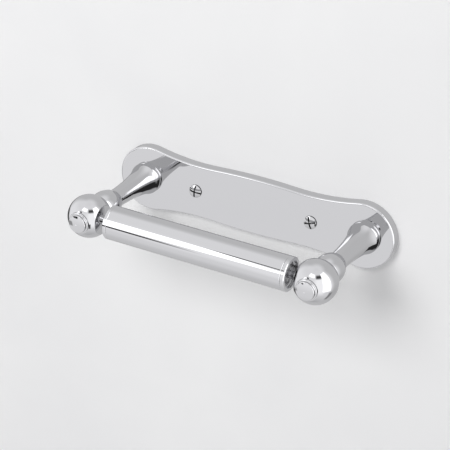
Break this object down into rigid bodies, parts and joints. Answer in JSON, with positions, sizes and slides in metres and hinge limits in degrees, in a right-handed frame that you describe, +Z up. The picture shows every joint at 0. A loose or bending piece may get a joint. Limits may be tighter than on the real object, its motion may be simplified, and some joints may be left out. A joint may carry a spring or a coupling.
{
  "type": "toilet paper holder",
  "caption": "Wall-mounted toilet paper holder: a shaped back plate carries turned arms with ball ends, and a spring-loaded roller sits between them.",
  "frame": {"origin": "middle of the back plate's rear face, on the wall", "axes": "+Z up, +Y into the wall, +X along the roller towards its sprung end"},
  "size_m": [0.188, 0.1156, 0.042],
  "materials": {
    "plate_chrome": "polished chrome plating on a zinc casting",
    "turned_chrome": "polished chrome plating on turned brass",
    "tube_chrome": "polished chrome plating on drawn tube",
    "screw_chrome": "chromed screw, slightly worn slots",
    "zinc_steel": "zinc-plated steel, satin",
    "spring_steel": "drawn spring wire",
    "housing_plastic": "moulded, matt"
  },
  "bodies": {
    "holder": {"back_plate": "plate_chrome", "wall_screws": "screw_chrome", "left_post": "turned_chrome", "right_post": "turned_chrome", "left_collar": "turned_chrome", "right_collar": "turned_chrome", "left_ball": "turned_chrome", "right_ball": "turned_chrome", "left_finial": "turned_chrome", "right_finial": "turned_chrome", "left_stud": "zinc_steel", "right_stud": "zinc_steel", "post_screws": "zinc_steel", "post_washers": "zinc_steel", "post_dowels": "zinc_steel"},
    "plunger": {"plunger": "turned_chrome"},
    "roller": {"roller_tube": "tube_chrome", "left_end_cap": "turned_chrome", "right_end_cap": "turned_chrome", "fixed_pin": "turned_chrome", "spring_housing": "housing_plastic", "plunger_spring": "spring_steel"}
  },
  "joints": [
    {"name": "roller_spin", "type": "hinge", "parent": "holder", "child": "plunger", "pos_m": [0, -0.071, 0], "axis": [1, 0, 0], "continuous": true},
    {"name": "roller_shift", "type": "slide", "parent": "plunger", "child": "roller", "axis": [1, 0, 0], "range_m": [0, 0.005], "stiffness_N_per_m": 400, "springref_m": -0.012, "deforming": ["plunger_spring"]}
  ]
}
